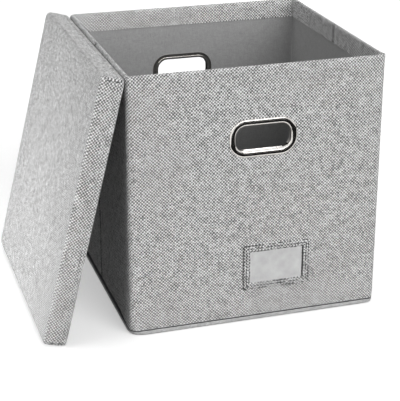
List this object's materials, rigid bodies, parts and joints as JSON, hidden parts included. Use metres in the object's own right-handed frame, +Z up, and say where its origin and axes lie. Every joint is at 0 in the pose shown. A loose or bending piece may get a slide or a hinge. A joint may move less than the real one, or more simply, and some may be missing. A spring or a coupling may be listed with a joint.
{
  "type": "record storage case",
  "caption": "Linen covered storage case for long-playing records, with metal-rimmed handle holes, a label pocket, a loose base board and a lift-off tray lid leaning on its left wall.",
  "frame": {"origin": "middle of the case's foot, on the surface it stands on", "axes": "+X towards the case's right wall, +Y from the front wall with the label pocket to the back wall, +Z up; the lid leans on the wall at -X"},
  "size_m": [0.4528, 0.3364, 0.3513],
  "materials": {
    "linen": "heathered plain weave in light and dark grey",
    "lining_cloth": "matte grey cloth",
    "binding": "linen bound seam",
    "grey_board": "raw grey board, hidden under cloth",
    "bright_metal": "polished nickel plated sheet",
    "clear_film": "slightly milky clear film",
    "ribbon": "dark grey ribbon"
  },
  "bodies": {
    "case": {"front_board": "grey_board", "back_board": "grey_board", "left_front_board": "grey_board", "left_rear_board": "grey_board", "right_front_board": "grey_board", "right_rear_board": "grey_board", "case_cover": "linen", "front_lining": "lining_cloth", "back_lining": "lining_cloth", "left_lining": "lining_cloth", "right_lining": "lining_cloth", "rim_binding": "linen", "floor_cloth": "lining_cloth", "bottom_welt": "binding", "front_handle_ring": "bright_metal", "front_handle_washer": "bright_metal", "back_handle_ring": "bright_metal", "back_handle_washer": "bright_metal", "label_frame": "linen", "label_window": "clear_film"},
    "base": {"base_board": "grey_board", "base_board_cover": "lining_cloth", "pull_tab": "ribbon"},
    "lid": {"lid_top_board": "grey_board", "lid_front_board": "grey_board", "lid_back_board": "grey_board", "lid_left_board": "grey_board", "lid_right_board": "grey_board", "lid_cover": "linen", "lid_lining": "lining_cloth", "lid_front_hem": "linen", "lid_back_hem": "linen", "lid_left_hem": "linen", "lid_right_hem": "linen"}
  },
  "joints": [
    {"name": "lid_lift", "type": "slide", "parent": "case", "child": "lid", "axis": [0, 0, 1], "range_m": [0, 0.36]},
    {"name": "base_board_lift", "type": "slide", "parent": "case", "child": "base", "axis": [0, 0, 1], "range_m": [0, 0.36]}
  ]
}
